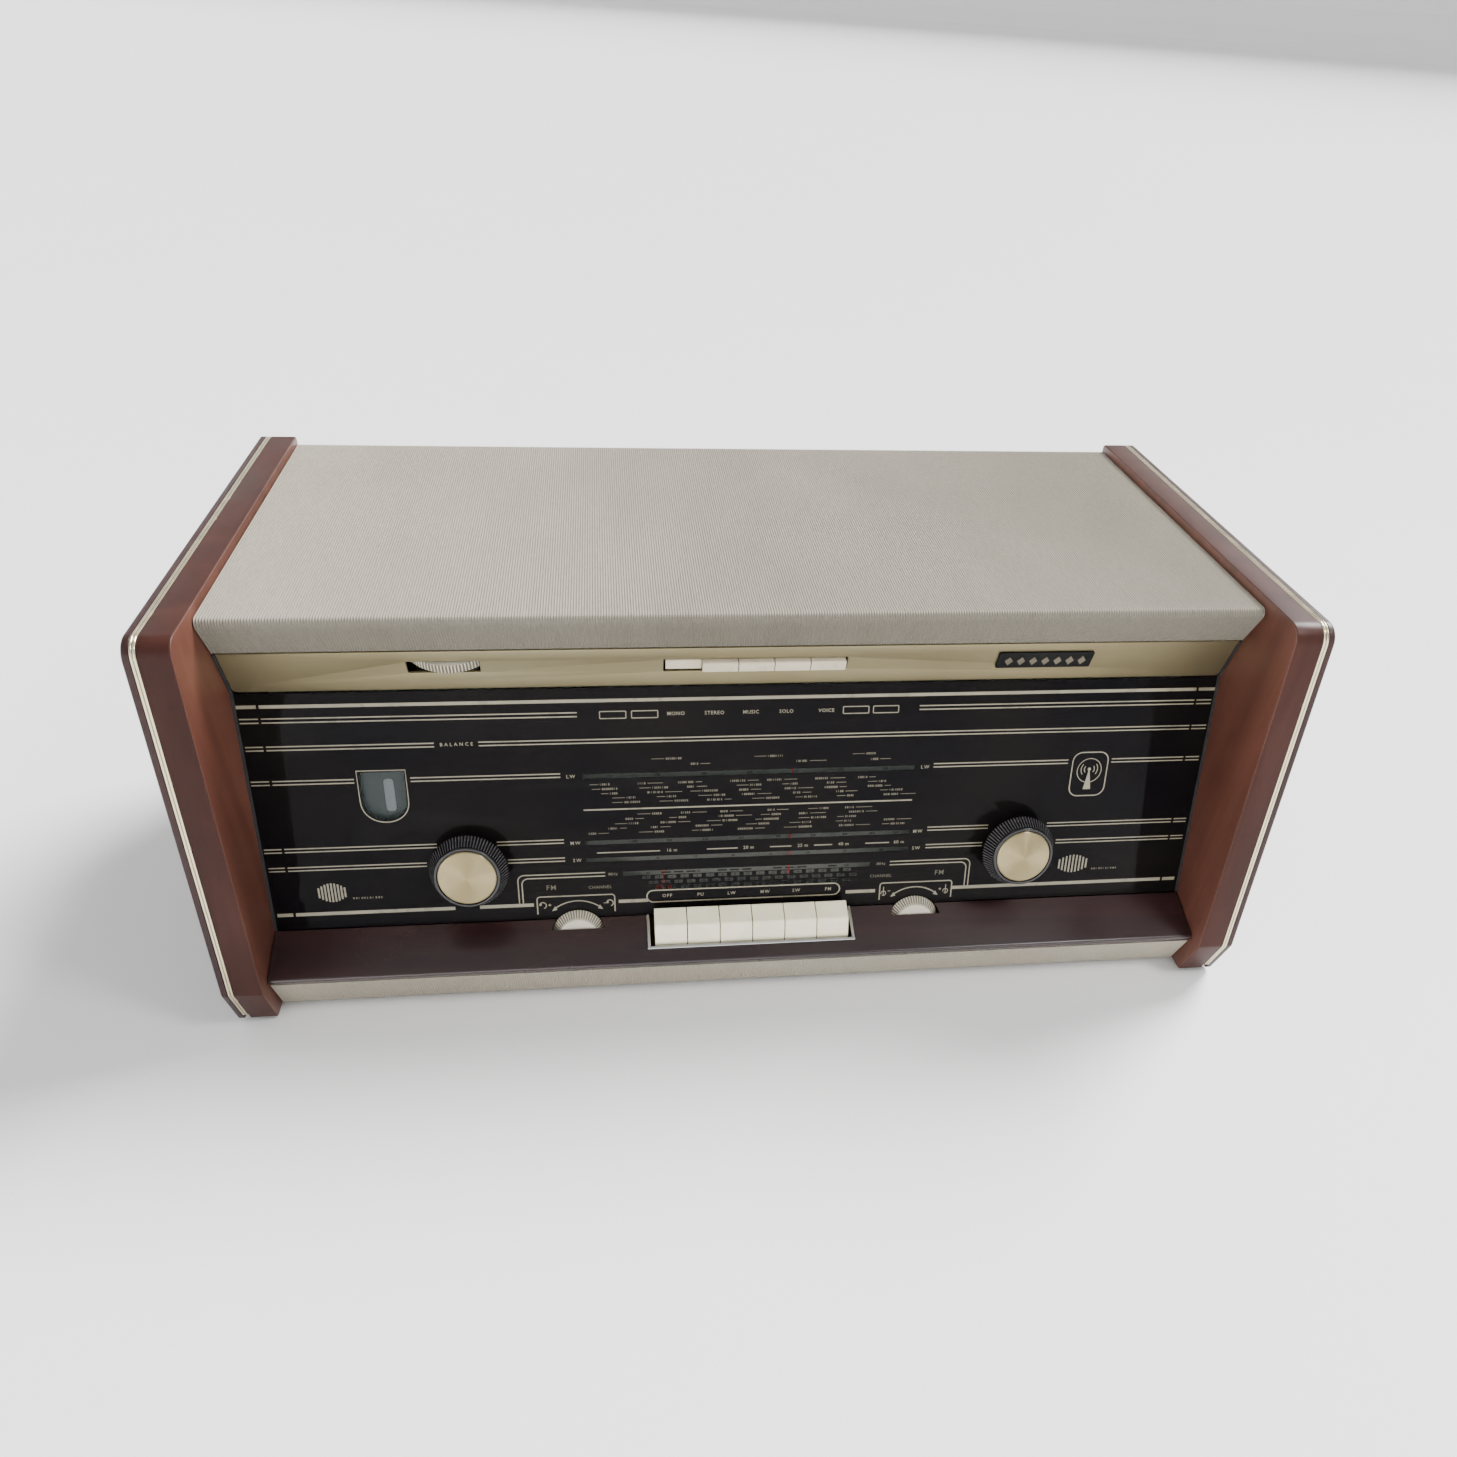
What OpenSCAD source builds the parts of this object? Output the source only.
// Table-top stereo radio receiver with wooden cheeks, a leaning dial glass and piano keys.
// Origin: centre of the footprint, on the table. +X to the listener's right, +Y to the back, +Z up.

/* [Cabinet] */
// Width over both cheeks
body_w = 650; // [600:1:720]
// Depth from the cheek's foremost point to its back edge
body_d = 332; // [322:1:344]
// Height from the table to the top of the cheeks
body_h = 255; // [250:1:262]
// Thickness of a finished cheek
cheek_t = 24; // [20:1:30]
// Thickness of the veneer plate outside the bead
skin_t = 4; // [3:0.5:6]
// Width of the inlaid bead between the two wooden layers
bead_w = 3.7; // [2.5:0.1:5]
// Height of the felt pads under the cheeks
pad_h = 2; // [1:0.5:3]

/* [Dial] */
// Lean of the dial glass from upright, in degrees
glass_lean = 16; // [14:1:18]
// Thickness of the dial glass
glass_t = 4; // [3:0.5:5]
// Distance of each big knob from the middle
knob_x = 176.5; // [165:0.5:185]
// Height of the big knobs up the glass
knob_u = 40.8; // [38:0.2:45]
// Radius of the spun cap on a big knob
cap_r = 17.6; // [16:0.1:19]

/* [Keys and buttons] */
// Distance between neighbouring piano keys
key_pitch = 21.2; // [20.6:0.1:21.6]
// Gap between neighbouring piano keys
key_gap = 0.7; // [0.5:0.1:1.2]
// Distance between neighbouring mode buttons
push_pitch = 21.5; // [20.5:0.1:22]
// Travel of a mode button
push_travel = 3; // [2:0.5:4]
// Distance of each tone wheel from the middle
tone_x = 112; // [105:1:120]
// Radius of a tone wheel
tone_r = 17; // [15:0.5:18]
// Radius of the balance wheel
balance_r = 30; // [26:1:32]

/* [Hidden] */
$fn = 64;

// Cheek inner face and the half width of everything between the cheeks
inner_x = body_w / 2 - cheek_t;
span_x = inner_x - 0.8;
// Depth of the bead, and how far the wood stays back from the bead's crown
bead_depth = 3;
bead_proud = 0.4;

// Side outline of a cheek as [y, z] corners, from the back foot over the top to the front foot
front_y = -body_d / 2;
back_y = body_d / 2;
cheek_corners = [[back_y, pad_h], [back_y, body_h], [front_y + 32, body_h], [front_y, 34],
    [front_y + 10, pad_h]];
cheek_radii = [3, 3, 16, 6, 3];

// Corners of the body between the cheeks, as [y, z]
cover_front = [front_y + 59, body_h - 6];
strip_top = [front_y + 78, body_h - 32];
glass_top = [front_y + 86.5, body_h - 62];
glass_len = 153.3;
glass_foot = glass_top - glass_len * [sin(glass_lean), cos(glass_lean)];
shelf_front = glass_foot + [-35.1, -11.3];
rail_top = shelf_front + [4.3, -6.3];
rail_foot = [rail_top[0] + 9.5, pad_h];
strip_lean = atan2(glass_top[0] - strip_top[0], strip_top[1] - glass_top[1]);
strip_len = norm(strip_top - glass_top);
shelf_slope = atan2(glass_foot[1] - shelf_front[1], glass_foot[0] - shelf_front[0]);

// Inside of the cabinet
board_t = 9;
floor_z = 12;
back_panel_y = back_y - 8;
back_panel_t = 3.5;
ceiling_z = body_h - 6 - board_t;

// Distances behind the outer face of the glass
plate_w = -22;
plate_t = 1.5;
blade_w = -9;
rail_w = -14;
cord_w = -12;
eye_pos = [-223.5, 62];
am_x = 27.3;
fm_x = -55.9;
am_rail_u = 103;
fm_rail_u = 10;

// Piano keys: the pivot rod and the cap's side outline, measured along and above the shelf
key_count = 6;
key_pivot = [-50, 36];
key_rod_r = 2;
running = 0.05;
key_hole_half = key_count * key_pitch / 2 + 2.4;
key_hole_front = front_y + 21.6;
key_hole_back = front_y + 76;
// Mode buttons: middle of the row, and lower and upper edge up the strip
push_mid_x = 0.6;
push_v = [13.1, 20.8];
push_slot = [11.9, 21.7];
// Balance wheel: height up the strip, thickness and how far it stands out
balance_v = 15.3;
balance_t = 6;
balance_out = 2.5;
balance_slot = [13.9, 22.8];
// Tone wheels
tone_u = -11.5;
tone_t = 6;
tone_edge = 1;
tone_bevel = 4.5;

// Chassis
chassis_x = 258;
chassis_y = [-38, 150];
chassis_z = 50;
steel_t = 1.5;
power_valves = [[60, 118], [100, 118], [140, 118], [180, 118]];
small_valves = [[-30, 60], [10, 60], [20, 118], [215, 60]];
valve_r = 11;
gang_pos = [95, 85];
drum_r = 66.7;

function unit(v) = v / norm(v);
function half_angle(a, p, b) = acos(unit(a - p) * unit(b - p)) / 2;
function bisector(a, p, b) = unit(unit(a - p) + unit(b - p));
function short_turn(a) = a > 180 ? a - 360 : (a < -180 ? a + 360 : a);
// Corners of a convex outline moved inwards by d
function inset(pts, d) = let (n = len(pts))
    [for (i = [0:n - 1]) let (a = pts[(i + n - 1) % n], p = pts[i], b = pts[(i + 1) % n])
        p + bisector(a, p, b) * d / sin(half_angle(a, p, b))];
// Points of the arc of radius r that rounds corner p between its neighbours a and b
function corner_arc(a, p, b, r, steps) = let (
        h = half_angle(a, p, b),
        c = p + bisector(a, p, b) * r / sin(h),
        s = p + unit(a - p) * r / tan(h) - c,
        e = p + unit(b - p) * r / tan(h) - c,
        a0 = atan2(s[1], s[0]),
        da = short_turn(atan2(e[1], e[0]) - a0))
    [for (i = [0:steps]) c + r * [cos(a0 + da * i / steps), sin(a0 + da * i / steps)]];
function rounded(pts, radii, steps = 10) = let (n = len(pts))
    [for (i = [0:n - 1]) each radii[i] > 0
        ? corner_arc(pts[(i + n - 1) % n], pts[i], pts[(i + 1) % n], radii[i], steps) : [pts[i]]];
function cheek_outline(d) = rounded(inset(cheek_corners, d), [for (r = cheek_radii) max(r - d, 0.5)]);

// An outline in the [y, z] plane given thickness along X
module side_plate(x0, x1, pts) {
    translate([x0, 0, 0]) rotate([90, 0, 90]) linear_extrude(x1 - x0) polygon(pts);
}
// Local frames: x stays X, y runs up the face, z points out of it
module on_glass(x = 0, u = 0, w = 0) {
    translate([0, glass_foot[0], glass_foot[1]]) rotate([90 - glass_lean, 0, 0])
        translate([x, u, w]) children();
}
module on_strip(x = 0, v = 0, w = 0) {
    translate([0, glass_top[0], glass_top[1]]) rotate([90 + strip_lean, 0, 0])
        translate([x, v, w]) children();
}
module on_shelf(x = 0, d = 0, h = 0) {
    translate([0, shelf_front[0], shelf_front[1]]) rotate([shelf_slope, 0, 0])
        translate([x, d, h]) children();
}
module block(lo, hi) {
    translate(lo) cube(hi - lo);
}
module tube(r, inner, h) {
    difference() {
        cylinder(r = r, h = h);
        translate([0, 0, -1]) cylinder(r = inner, h = h + 2);
    }
}

// Cheeks, modelled on the right and mirrored for the left
module cheek_slab() {
    side_plate(inner_x, body_w / 2 - skin_t - bead_w, cheek_outline(bead_proud));
}
module cheek_outer() {
    side_plate(body_w / 2 - skin_t, body_w / 2, cheek_outline(bead_proud));
    side_plate(body_w / 2 - skin_t - bead_w, body_w / 2 - skin_t, cheek_outline(bead_depth + 0.1));
}
module cheek_bead() {
    difference() {
        side_plate(body_w / 2 - skin_t - bead_w + 0.05, body_w / 2 - skin_t - 0.05, cheek_outline(0));
        side_plate(body_w / 2 - 20, body_w / 2, cheek_outline(bead_depth));
        block([0, back_y - bead_depth, -1], [body_w, back_y + 9, body_h + 9]);
        block([0, front_y - 9, -1], [body_w, back_y + 9, pad_h + 2 * bead_depth]);
    }
}
module left_cheek() color("#73483c") mirror([1, 0, 0]) cheek_slab();
module left_cheek_skin() color("#4a2c26") mirror([1, 0, 0]) cheek_outer();
module left_bead() color("#d8d6c8") mirror([1, 0, 0]) cheek_bead();
module right_cheek() color("#73483c") cheek_slab();
module right_cheek_skin() color("#4a2c26") cheek_outer();
module right_bead() color("#d8d6c8") cheek_bead();

module top_cover() {
    wall = unit([strip_top[0] - cover_front[0], strip_top[1] - cover_front[1]]);
    inward = board_t * [-wall[1], wall[0]];
    hem = strip_top + inward;
    bend = hem - wall * (ceiling_z - hem[1]) / -wall[1];
    rear = back_y - 1.5;
    outline = [[rear, cover_front[1]], cover_front, strip_top, hem, bend, [rear, ceiling_z]];
    color("#b9b2a5") side_plate(-span_x, span_x, rounded(outline, [2, 6, 1.5, 0, 0, 0]));
}
module bottom_board() {
    color("#8a6a4c") block([-span_x, rail_foot[0] + 12, pad_h + 0.5], [span_x, back_panel_y - 1, floor_z]);
}
module front_rail() {
    outline = [rail_top, rail_foot, rail_foot + [9.5, 0], rail_top + [9.5, -1]];
    color("#a0968a") side_plate(-span_x, span_x, rounded(outline, [0, 2.5, 0, 0]));
}
module shelf() {
    step = glass_foot + [-0.9, -0.3];
    outline = [shelf_front, step, [step[0], 43], [-100, 43], [-100, 34], [step[0] - 4, 34],
        rail_top + [3, 0.1], rail_top + [0, 0.2]];
    color("#412a2d") difference() {
        side_plate(-span_x, span_x, rounded(outline, [2, 0, 0, 0, 0, 0, 0, 1.5]));
        block([-key_hole_half, key_hole_front, 0], [key_hole_half, key_hole_back, 80]);
        for (s = [-1, 1]) {
            on_glass(s * tone_x, tone_u, -0.6) cylinder(r = tone_r + 1, h = tone_t + 2);
            on_glass(s * tone_x - 7, tone_u - 12, -40) cube([14, 24, 40]);
        }
    }
}
module fascia_batten() {
    front = strip_top[0] + 8.5;
    outline = [[front, strip_top[1] + 2], [front + 19.5, strip_top[1] + 2], [front + 19.5, ceiling_z - 0.3],
        [front - 8.5, ceiling_z - 0.3], [front, strip_top[1] + 5.6]];
    color("#9c7a58") side_plate(-span_x, span_x, outline);
}
module gold_strip() {
    push_half = 2.5 * push_pitch + 1;
    color("#a59e73") difference() {
        union() {
            on_strip(-span_x, 1.5, -2) cube([2 * span_x, strip_len - 2.1, 2]);
            on_strip(-span_x, 1.5, -1.5) rotate([0, 90, 0]) cylinder(r = 1.5, h = 2 * span_x, $fn = 32);
        }
        on_strip(-199.5, balance_slot[0], -9) cube([40.5, balance_slot[1] - balance_slot[0], 18]);
        on_strip(push_mid_x - push_half, push_slot[0], -9)
            cube([2 * push_half, push_slot[1] - push_slot[0], 18]);
    }
}
module badge_plate() {
    color("#1d1b1c") on_strip(148, 11.8, 0.1) cube([60, 12.4, 1.4]);
}
module dial_glass() {
    color("#19161a") difference() {
        on_glass(-span_x, 0, -glass_t) cube([2 * span_x, glass_len - 0.9, glass_t]);
        for (s = [-1, 1]) on_glass(s * knob_x, knob_u, -glass_t - 1) cylinder(r = 6, h = glass_t + 2);
    }
}
module back_panel() {
    y0 = back_panel_y;
    color("#6e5137") difference() {
        block([-span_x, y0, floor_z + 1], [span_x, y0 + back_panel_t, ceiling_z - 1]);
        block([-156, y0 - 1, floor_z], [156, y0 + 9, chassis_z + 1]);
        for (row = [0:4], i = [0:12])
            block([i * 40 - 255, y0 - 1, 90 + row * 26], [i * 40 - 225, y0 + 9, 94 + row * 26]);
        for (p = screw_places) translate([p[0], y0 - 1, p[1]]) rotate([-90, 0, 0]) cylinder(r = 1.9, h = 9);
        translate([230, y0 - 1, 36]) rotate([-90, 0, 0]) cylinder(r = 7, h = 9);
    }
}
screw_places = [for (x = [-285, -95, 95, 285], z = [70, 226]) [x, z]];
module back_screws() {
    color("#c9a24a") for (p = screw_places)
        translate([p[0], back_panel_y + 0.2, p[1]]) rotate([-90, 0, 0]) difference() {
            union() {
                cylinder(r = 1.7, h = back_panel_t);
                translate([0, 0, back_panel_t - 0.2]) cylinder(r1 = 4, r2 = 2.6, h = 2, $fn = 32);
            }
            translate([-4, -0.4, back_panel_t + 1]) cube([8, 0.8, 2]);
        }
}
module felt_pads() {
    color("#3a3634") for (x = [-1, 1], y = [-120, 130])
        translate([x * (inner_x + 9), y, 0]) cylinder(r = 8, h = pad_h + bead_proud);
}
module key_surround() {
    bar = 2.2;
    front = 10.6;
    color("#cfd2d4") difference() {
        on_shelf(-key_hole_half - bar, front, 0.05) cube([2 * (key_hole_half + bar), 25.5, 1.6]);
        on_shelf(-key_hole_half, front + bar, -1) cube([2 * key_hole_half, 40, 5]);
    }
}

// Inner pieces that stay still
module chassis() {
    x = chassis_x;
    y = chassis_y;
    color("#b4b6b5") {
        difference() {
            block([-x, y[0], floor_z + 0.3], [x, y[1], chassis_z]);
            block([-x + steel_t, y[0] + steel_t, 0], [x - steel_t, y[1] - steel_t, chassis_z - steel_t]);
        }
        for (p = concat(power_valves, small_valves)) translate([p[0], p[1], chassis_z - 1]) tube(13, 11.5, 9);
    }
}
mains_lo = [-225, 20, chassis_z];
mains_hi = [-135, 100, chassis_z + 76];
output_y = [30, 74];
output_x = [-122, -83];
output_w = 38;
module lamination(lo, hi) {
    leg = (hi[0] - lo[0]) / 6;
    gap = 12;
    difference() {
        block(lo, hi);
        for (k = [1, 3.75]) block([lo[0] + k * leg, lo[1] - 1, lo[2] + gap],
            [lo[0] + (k + 1.25) * leg, hi[1] + 1, hi[2] - gap]);
    }
}
module mains_transformer() {
    color("#4c4a49") {
        lamination([mains_lo[0], mains_lo[1] + 20, mains_lo[2]],
            [mains_hi[0], mains_hi[1] - 20, mains_hi[2]]);
        for (x = [mains_lo[0] - 8, mains_hi[0] - 4]) block([x, 45, chassis_z], [x + 12, 75, chassis_z + 2]);
    }
}
module output_transformers() {
    color("#55504c") for (x = output_x) lamination([x, output_y[0] + 12, chassis_z],
        [x + output_w, output_y[1] - 12, chassis_z + 40]);
}
module winding(lo, hi) {
    leg = (hi[0] - lo[0]) / 6;
    difference() {
        block([lo[0] + 1.1 * leg, lo[1], lo[2] + 13], [hi[0] - 1.1 * leg, hi[1], hi[2] - 13]);
        block([lo[0] + 2.2 * leg, lo[1] + 4, lo[2] - 1], [hi[0] - 2.2 * leg, hi[1] - 4, hi[2] + 1]);
    }
}
module transformer_windings() {
    color("#a8763f") {
        winding([mains_lo[0], mains_lo[1] + 6, mains_lo[2]], [mains_hi[0], mains_hi[1] - 6, mains_hi[2]]);
        for (x = output_x) winding([x, output_y[0] + 3, chassis_z],
            [x + output_w, output_y[1] - 3, chassis_z + 40]);
    }
}
module valve(h) {
    dome = 5;
    rotate_extrude() polygon(concat([[0, 0], [valve_r, 0], [valve_r, h - dome]],
        [for (a = [15:15:75]) [valve_r - dome + dome * cos(a), h - dome + dome * sin(a)]],
        [[1.5, h], [0, h + 4]]));
}
module valves() {
    color("#cfe0e6") {
        for (p = power_valves) translate([p[0], p[1], chassis_z + 0.3]) valve(66);
        for (p = small_valves) translate([p[0], p[1], chassis_z + 0.3]) valve(50);
    }
}
module screening_cans() {
    color("#c7cacb") {
        for (p = [[-20, 100], [-20, 20], [30, 20], [180, 20], [215, 20]])
            block([p[0] - 11, p[1] - 11, chassis_z], [p[0] + 11, p[1] + 11, chassis_z + 52]);
        block([60, 45, chassis_z], [150, 92, chassis_z + 42]);
    }
}
module capacitor_cans() {
    color("#b9bdbf") for (p = [[-235, 125], [-195, 125]]) translate([p[0], p[1], chassis_z]) {
        cylinder(r = 17, h = 72);
        cylinder(r = 19, h = 4);
    }
}
module dial_plate() {
    window = 17;
    color("#d9d3c0") {
        difference() {
            union() {
                on_glass(-286, 6, plate_w) cube([572, 142, plate_t]);
                on_glass(knob_x, knob_u, plate_w - 8) cylinder(r = 6, h = 8.2);
            }
            on_glass(knob_x, knob_u, plate_w - 9) cylinder(r = 3 + running, h = 12);
            on_glass(-knob_x, knob_u, plate_w - 9) cylinder(r = 5.2, h = 12);
            on_glass(eye_pos[0] - window, eye_pos[1] - 13, plate_w - 1) cube([2 * window, 76, 4]);
            on_glass(gang_pos[0], gang_pos[1], plate_w - 1) cylinder(r = 4, h = 4);
        }
        for (x = [-282, 280]) difference() {
            side_plate(x, x + 2, [[-97, floor_z + 0.2], [-40, floor_z + 0.2], [-40, floor_z + 8],
                [-82, 130], [-97, 48]]);
            on_glass(-300, -60, plate_w + plate_t / 2) cube([600, 300, 60]);
        }
    }
}
pulley_r = 4.8;
hub_r = 4.9;
left_pulley = [-150, 115];
right_pulley = [161, 115];
turn_pulley = [150, 103.5];
module pulley(place) {
    on_glass(place[0], place[1], cord_w - 1) difference() {
        cylinder(r = pulley_r, h = 2, $fn = 32);
        translate([0, 0, -1]) cylinder(r = 1.2, h = 4, $fn = 24);
    }
    on_glass(place[0], place[1], plate_w + plate_t) cylinder(r = 1.2, h = 10, $fn = 24);
}
module pointer_rail() {
    color("#9da1a3") {
        for (r = [[am_rail_u, 140], [fm_rail_u, 100]]) {
            on_glass(-r[1], r[0], rail_w) cube([2 * r[1], 3, 1.5]);
            for (s = [-1, 1]) on_glass(s * (r[1] - 2) - 2, r[0], plate_w + plate_t)
                cube([4, 3, rail_w - plate_w - plate_t + 0.5]);
        }
        pulley(left_pulley);
        pulley(right_pulley);
        pulley(turn_pulley);
    }
}
module dial_lamps() {
    color("#efe6c0") for (x = [-255, -60, 60, 255]) on_glass(x, 137, -13) {
        sphere(r = 5, $fn = 32);
        rotate([-90, 0, 0]) cylinder(r = 4, h = 10, $fn = 32);
        translate([-2, 4, plate_w + plate_t + 13]) cube([4, 4, 8]);
    }
}
module magic_eye() {
    color("#6f8f86") on_glass(eye_pos[0], eye_pos[1], -18) rotate([-90, 0, 0]) {
        cylinder(r = 11, h = 52);
        translate([0, 0, -10]) cylinder(r = 13, h = 9.5);
    }
}
module pot(r, h) {
    difference() {
        union() {
            cylinder(r = r, h = h);
            cylinder(r = 5, h = h + 8);
        }
        translate([0, 0, -1]) cylinder(r = 3 + running, h = h + 12);
    }
}
module potentiometers() {
    color("#8d8f90") {
        on_glass(-knob_x, knob_u, plate_w - 14.2) pot(13, 14);
        for (s = [-1, 1]) on_glass(s * tone_x, tone_u, -40) pot(10, 12);
        on_strip(-knob_x, 2.4, balance_out - balance_r) rotate([-90, 0, 0]) pot(11, 4);
        on_strip(-knob_x - 14, 1.2, -46) cube([28, 1.2, 42.8]);
    }
}
module push_switch() {
    half = 2.5 * push_pitch + 2;
    stem = 0.35;
    color("#7c6a55") difference() {
        union() {
            on_strip(push_mid_x - half, 10, -34) cube([2 * half, 14, 22]);
            for (s = [-1, 1]) on_strip(push_mid_x + s * (half - 5) - 5, 3, -34) cube([10, 8, 30.9]);
        }
        for (i = [0:4]) on_strip(push_mid_x + (i - 2) * push_pitch - 3 - stem, 15 - stem, -40)
            cube([6 + 2 * stem, 4 + 2 * stem, 40]);
    }
}
module key_frame() {
    ear = 68;
    color("#a9adae") {
        block([-ear - 4, key_pivot[0] - 30, floor_z + 0.3], [ear + 4, key_pivot[0] + 10, floor_z + 2]);
        for (s = [-1, 1]) block([s * ear - 1.5, key_pivot[0] - 8, floor_z + 0.3],
            [s * ear + 1.5, key_pivot[0] + 8, key_pivot[1] + 7]);
        translate([-ear - 4, key_pivot[0], key_pivot[1]]) rotate([0, 90, 0])
            cylinder(r = key_rod_r, h = 2 * ear + 8);
        block([-62, key_pivot[0] - 29, floor_z + 1], [62, key_pivot[0] - 12, 27]);
    }
}
gang_half = 28;
gang_front = -36;
gang_back = -90;
gang_plates = 10;
gang_step = 3.6;
module gang_frame() {
    x = gang_pos[0];
    u = gang_pos[1];
    color("#aeb2b3") {
        difference() {
            for (w = [gang_front - 2, gang_back]) on_glass(x - gang_half, u - gang_half, w)
                cube([2 * gang_half, 2 * gang_half, 2]);
            on_glass(x, u, gang_back - 1) cylinder(r = 3 + running, h = 60);
        }
        on_glass(x - gang_half, u - gang_half, gang_back) cube([2 * gang_half, 2, gang_front - gang_back]);
        for (i = [0:gang_plates - 1])
            on_glass(x - 24, u + 6, gang_back + 8 + i * gang_step) cube([48, 20, 0.8]);
        on_glass(x - 24, u + 24, gang_back) cube([48, 2, gang_front - gang_back]);
        block([x - 12, -34, chassis_z], [x + 12, -24, 78.2]);
    }
}
// One straight run of the drive cord, which stops just short of the next one
cord_r = 0.4;
module cord_run(a, b) {
    run = b - a;
    gap = 0.5;
    on_glass(a[0], a[1], cord_w) rotate([0, 0, atan2(run[1], run[0])]) translate([gap, 0, 0])
        rotate([0, 90, 0]) cylinder(r = cord_r, h = norm(run) - 2 * gap, $fn = 24);
}
// The cord's corners round a wheel of radius r, every 45 degrees from one angle to another
function wrapped(centre, r, from, to) = let (reach = (r + cord_r + 0.3) / cos(22.5))
    [for (a = [from:to > from ? 45 : -45:to]) centre + reach * [cos(a), sin(a)]];
module drive_cord() {
    loop = concat(wrapped(left_pulley, pulley_r, 270, 90), wrapped(right_pulley, pulley_r, 90, 0),
        wrapped([knob_x, knob_u], hub_r, 0, -180), wrapped(turn_pulley, pulley_r, 0, 90));
    color("#d8cfa8") for (i = [0:len(loop) - 1]) cord_run(loop[i], loop[(i + 1) % len(loop)]);
}
module ferrite_rod() {
    color("#3b3a3c") {
        translate([-90, 130, 190]) rotate([0, 90, 0]) cylinder(r = 5, h = 180);
        for (x = [-75, 35]) block([x, 127, chassis_z], [x + 10, 133, 192]);
    }
}
plug_xs = [85, 104, 123, 142];
round_xs = [-136, -98, -30, 8];
socket_z = 32;
socket_t = 8.5;
module socket_panel() {
    y0 = chassis_y[1] + 0.2;
    color("#2b2422") {
        difference() {
            block([72, y0, 18], [155, y0 + socket_t, 46]);
            for (x = plug_xs) translate([x, y0 - 1, socket_z]) rotate([-90, 0, 0])
                cylinder(r = 2, h = socket_t + 2, $fn = 48);
        }
        difference() {
            block([-155, y0, 18], [27, y0 + socket_t, 46]);
            for (x = round_xs) translate([x, y0 + 2, socket_z]) rotate([-90, 0, 0])
                cylinder(r = 7.5, h = socket_t, $fn = 48);
        }
    }
}
module mains_gland() {
    color("#1f1d1d") translate([230, back_panel_y - 3, 36]) rotate([-90, 0, 0]) difference() {
        union() {
            cylinder(r = 6.9, h = 9);
            cylinder(r = 10, h = 2.8);
            translate([0, 0, 3 + back_panel_t + 0.2]) cylinder(r1 = 10, r2 = 8.5, h = 3);
        }
        translate([0, 0, -1]) cylinder(r = 3.5, h = 20);
    }
}

// Moving pieces
module tuning_shaft() {
    color("#c0a15a") on_glass(knob_x, knob_u) {
        translate([0, 0, -64]) cylinder(r = 3, h = 80);
        translate([0, 0, -15]) cylinder(r = hub_r, h = 6);
        translate([0, 0, -60]) cylinder(r = 28, h = 11);
    }
}
// Knob skirt: a neck under a flared, hollow-topped skirt, with heights above the glass
skirt_base = 1;
skirt_lip = 11;
skirt_top = 21;
module knob_skirt(bore) {
    rim = cap_r + 2.5;
    seat = cap_r + 0.5;
    neck = [[bore, skirt_base], [17, skirt_base], [17, skirt_lip - 2], [rim + 3.3, skirt_lip - 1.4]];
    flank = [[rim + 4.1, skirt_lip], [rim + 2.4, skirt_lip + 3.5], [rim + 1, skirt_lip + 7],
        [rim, skirt_top - 0.6]];
    crown = [[rim - 0.6, skirt_top], [seat, skirt_top], [seat, skirt_top - 4], [bore, skirt_top - 4]];
    profile = concat(neck, flank, crown);
    rotate_extrude($fn = 96) polygon(profile);
}
module knob_cap() {
    base = skirt_top - 3.8;
    edge = skirt_top - 0.6;
    rotate_extrude($fn = 96) polygon([[0, base], [cap_r, base], [cap_r, edge], [cap_r - 0.8, edge + 0.7],
        [6, edge + 2.6], [0, edge + 3.2]]);
}
module tuning_knob() color("#161415") on_glass(knob_x, knob_u) knob_skirt(3.01);
module tuning_cap() color("#c9b98a") on_glass(knob_x, knob_u) knob_cap();
module volume_knob() {
    color("#161415") on_glass(-knob_x, knob_u) {
        knob_skirt(2);
        translate([0, 0, -34]) cylinder(r = 3, h = 50);
    }
}
module volume_cap() color("#c9b98a") on_glass(-knob_x, knob_u) knob_cap();
module gang_rotor() {
    color("#c5c9ca") on_glass(gang_pos[0], gang_pos[1]) {
        translate([0, 0, gang_back - 4]) cylinder(r = 3, h = 70);
        for (i = [0:gang_plates - 2])
            translate([0, 0, gang_back + 8 + (i + 0.5) * gang_step + 0.1]) intersection() {
                cylinder(r = 20, h = 0.8);
                rotate([0, 0, 150]) translate([-30, 0, -1]) cube([60, 30, 3]);
            }
        translate([0, 0, gang_back + 5]) cylinder(r = 5, h = 42);
    }
}
module drive_drum() {
    color("#d6c79b") on_glass(gang_pos[0], gang_pos[1], -32) difference() {
        union() {
            tube(drum_r, drum_r - 6, 5);
            cylinder(r = 9, h = 5);
            for (a = [0:90:270]) rotate([0, 0, a]) translate([0, -4, 0]) cube([drum_r - 4, 8, 2]);
        }
        translate([0, 0, -1]) cylinder(r = 3.01, h = 9);
    }
}
module pointer(x, rail_u, lo, hi, w) {
    on_glass(x) {
        difference() {
            translate([-5, rail_u - 3, rail_w - 1.7]) cube([10, 7.6, 4.9]);
            translate([-9, rail_u - 0.3, rail_w - 0.3]) cube([18, 3.6, 2.1]);
        }
        translate([-0.5, lo, w]) cube([1, hi - lo, 0.6]);
        translate([-2, rail_u - 1, rail_w + 3]) cube([4, 5, w - rail_w - 2.6]);
    }
}
module am_pointer() color("#c2261c") pointer(am_x, am_rail_u, 21, am_rail_u + 3, blade_w);
module fm_pointer() color("#c2261c") pointer(fm_x, fm_rail_u, fm_rail_u, 33, blade_w + 1.6);
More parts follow.
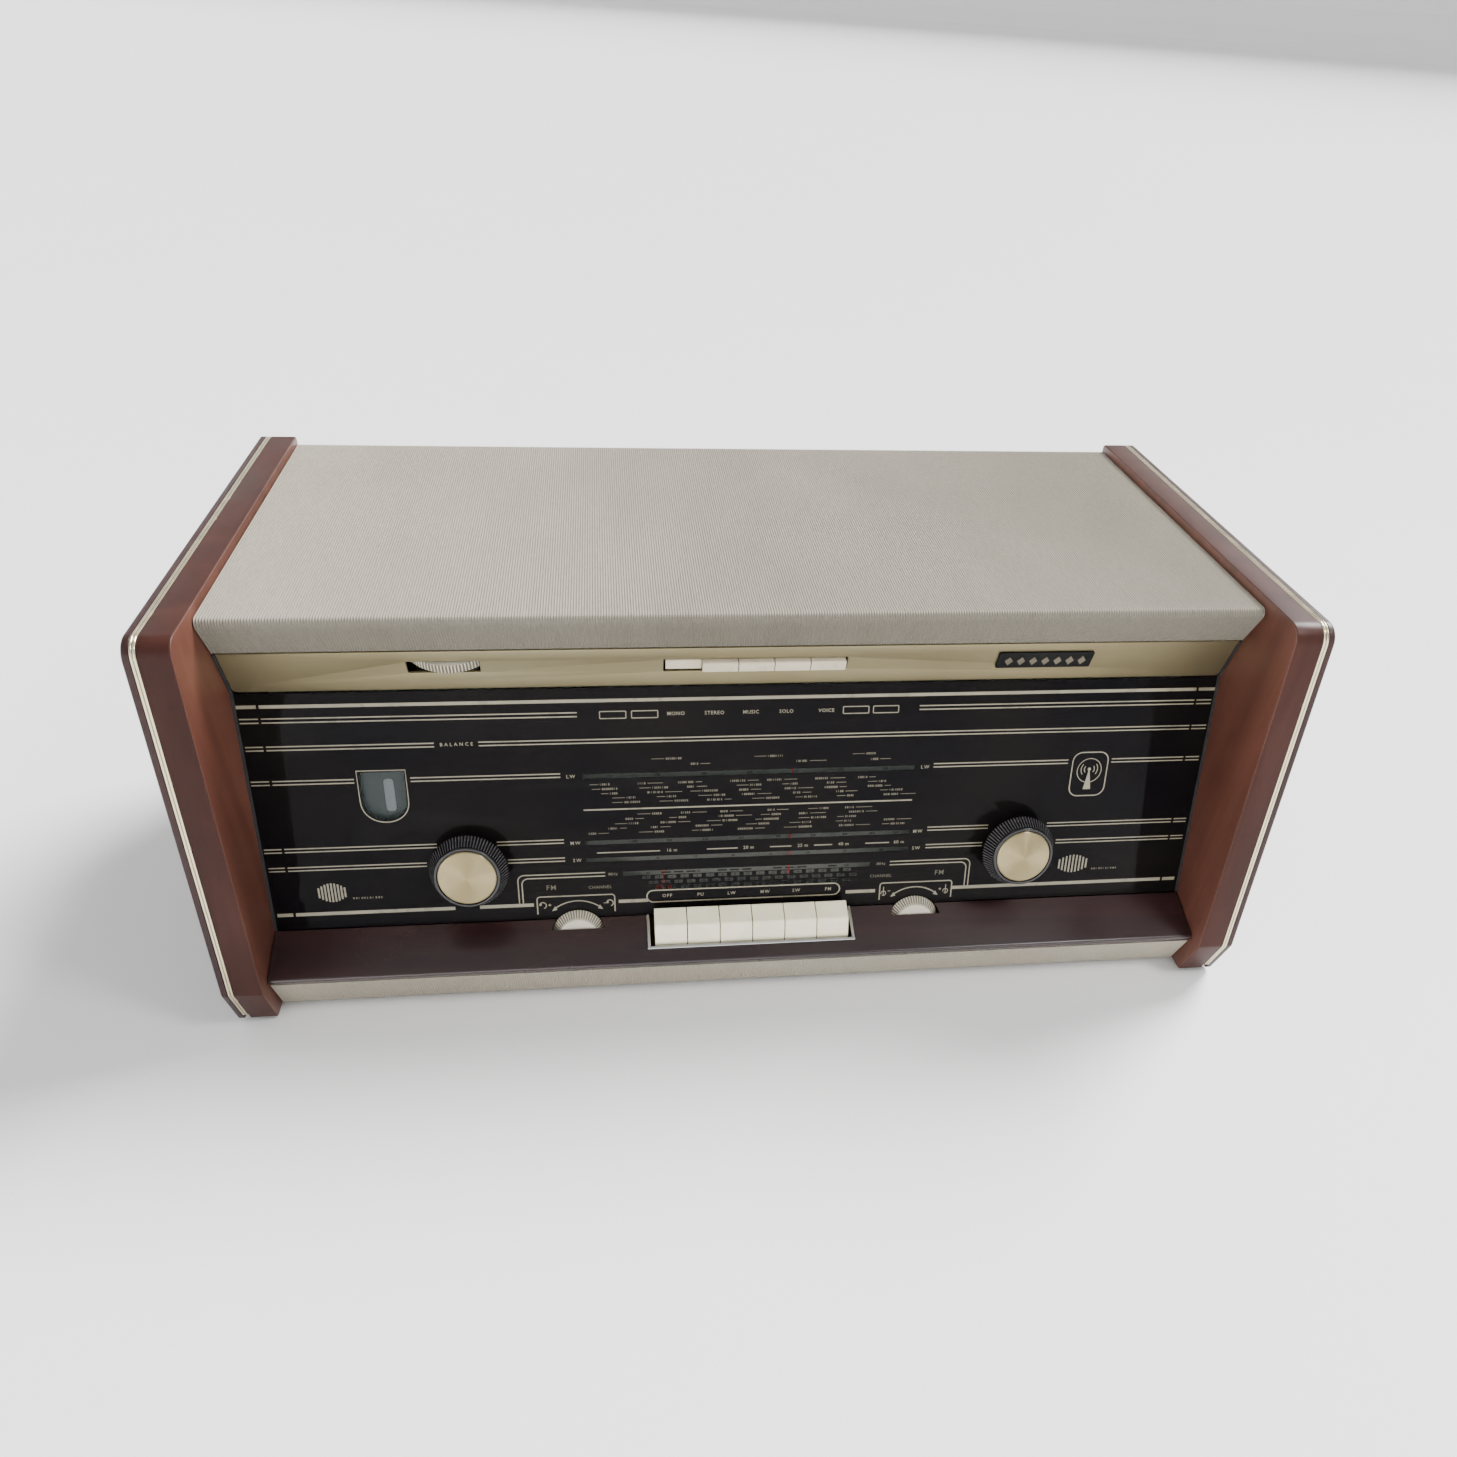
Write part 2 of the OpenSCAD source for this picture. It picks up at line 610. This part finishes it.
module push_button(i) {
    pressed = i == 1 ? push_travel : 0;
    wide = push_pitch - 0.5;
    tall = push_v[1] - push_v[0];
    outline = [[0, -6], [0, push_travel - 1.2], [1, push_travel], [tall - 0.8, push_travel],
        [tall, push_travel - 0.8], [tall, -6]];
    color("#e4dfcd") on_strip(push_mid_x + (i - 3) * push_pitch, 0, -pressed) {
        translate([-wide / 2, push_v[0], 0]) rotate([90, 0, 90]) linear_extrude(wide) polygon(outline);
        translate([-3, 15, -26]) cube([6, 4, 21]);
    }
}
module push_1() push_button(1);
module push_2() push_button(2);
module push_3() push_button(3);
module push_4() push_button(4);
module push_5() push_button(5);
// Piano key: cap outline in the side view, a lever back to the pivot rod and its eye
module piano_key(i) {
    wide = key_pitch - key_gap;
    x0 = (i - key_count / 2 - 1) * key_pitch + key_gap / 2 + 0.3;
    mid = x0 + wide / 2;
    low = 35;
    top_back = [-126.1, 54.6];
    ridge = [-138.5, 50.6];
    lip = [-143.0, 38.7];
    outline = [top_back, ridge, lip, [lip[0], low], [top_back[0] + 1, low], [top_back[0] + 1, 53.5]];
    color("#e8e3d0") difference() {
        union() {
            side_plate(x0, x0 + wide, rounded(outline, [1, 2.2, 0.8, 0, 0, 0.5], 5));
            block([mid - 3, top_back[0] - 4, low], [mid + 3, key_pivot[0], 39]);
            translate([mid - 4, key_pivot[0], key_pivot[1]]) rotate([0, 90, 0]) cylinder(r = 4.6, h = 8);
        }
        translate([mid - 9, key_pivot[0], key_pivot[1]]) rotate([0, 90, 0])
            cylinder(r = key_rod_r + running, h = 18);
    }
}
module key_1() piano_key(1);
module key_2() piano_key(2);
module key_3() piano_key(3);
module key_4() piano_key(4);
module key_5() piano_key(5);
module key_6() piano_key(6);
module balance_wheel() {
    color("#e4dfcd") on_strip(-knob_x, balance_v, balance_out - balance_r) rotate([-90, 0, 0]) {
        cylinder(r = balance_r, h = balance_t, $fn = 120);
        translate([0, 0, -12.2]) cylinder(r = 3, h = 13);
    }
}
module tone_wheel(s) {
    color("#e4dfcd") on_glass(s * tone_x, tone_u) {
        translate([0, 0, 0.5]) cylinder(r = tone_r, h = tone_edge, $fn = 96);
        translate([0, 0, 0.5 + tone_edge])
            cylinder(r1 = tone_r, r2 = tone_r - tone_bevel, h = tone_t - tone_edge, $fn = 96);
        translate([0, 0, -38]) cylinder(r = 3, h = 39);
    }
}
module bass_wheel() tone_wheel(-1);
module treble_wheel() tone_wheel(1);

left_cheek();
left_cheek_skin();
left_bead();
right_cheek();
right_cheek_skin();
right_bead();
top_cover();
bottom_board();
front_rail();
shelf();
fascia_batten();
gold_strip();
badge_plate();
dial_glass();
back_panel();
back_screws();
felt_pads();
key_surround();
chassis();
mains_transformer();
output_transformers();
transformer_windings();
valves();
screening_cans();
capacitor_cans();
dial_plate();
pointer_rail();
dial_lamps();
magic_eye();
potentiometers();
push_switch();
key_frame();
gang_frame();
drive_cord();
ferrite_rod();
socket_panel();
mains_gland();
tuning_shaft();
tuning_knob();
tuning_cap();
volume_knob();
volume_cap();
gang_rotor();
drive_drum();
am_pointer();
fm_pointer();
push_1();
push_2();
push_3();
push_4();
push_5();
key_1();
key_2();
key_3();
key_4();
key_5();
key_6();
balance_wheel();
bass_wheel();
treble_wheel();
